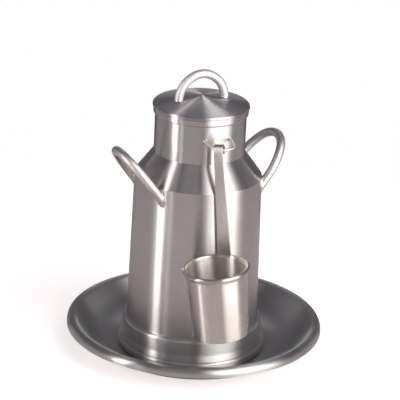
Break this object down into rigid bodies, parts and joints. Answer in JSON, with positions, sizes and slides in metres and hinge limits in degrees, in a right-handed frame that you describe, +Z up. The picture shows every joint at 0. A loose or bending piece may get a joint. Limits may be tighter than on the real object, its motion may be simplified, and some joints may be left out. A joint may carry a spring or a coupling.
{
  "type": "lidded drinks churn with ladle and tray",
  "caption": "Churn-shaped lidded pewter drinks vessel with bent-rod side handles, a hanging measuring ladle on a neck ring, and a dished round tray.",
  "frame": {"origin": "on the vessel's axis, on the plane of the tray's underside", "axes": "+Z up along the vessel's axis, side handles along +X and -X, ladle ring towards -Y"},
  "size_m": [0.2074, 0.2074, 0.2339],
  "materials": {
    "tray_pewter": "satin pewter, spun, faint rings",
    "churn_pewter": "satin pewter, brushed round the axis",
    "lid_pewter": "satin pewter, brushed round the axis",
    "rod_pewter": "satin pewter, polished rod",
    "ladle_pewter": "satin pewter, brushed",
    "solder": "soft solder, wiped smooth"
  },
  "bodies": {
    "tray": {"tray": "tray_pewter"},
    "churn": {"foot_ring": "churn_pewter", "churn_floor": "churn_pewter", "body_wall": "churn_pewter", "shoulder_cone": "churn_pewter", "neck_tube": "churn_pewter", "mouth_lip": "churn_pewter", "handle_right": "rod_pewter", "handle_right_solder": "solder", "handle_left": "rod_pewter", "handle_left_solder": "solder", "ladle_ring": "rod_pewter", "ladle_ring_solder": "solder"},
    "lid": {"lid_cap": "lid_pewter", "lid_collar": "lid_pewter", "lid_handle": "rod_pewter", "lid_handle_solder": "solder"},
    "ladle": {"ladle_strap": "ladle_pewter", "ladle_cup_wall": "ladle_pewter", "ladle_cup_floor": "ladle_pewter", "ladle_rim_bead": "ladle_pewter", "ladle_strap_solder": "solder"}
  },
  "joints": [
    {"name": "churn_lift", "type": "slide", "parent": "tray", "child": "churn", "axis": [0, 0, 1], "range_m": [0, 0.12]},
    {"name": "lid_lift", "type": "slide", "parent": "churn", "child": "lid", "axis": [0, 0, 1], "range_m": [0, 0.06]},
    {"name": "ladle_swing", "type": "hinge", "parent": "churn", "child": "ladle", "pos_m": [-0.00813, -0.04997, 0.1854], "axis": [-0.7383, 0.6661, -0.1063], "range_deg": [0, 80]}
  ]
}
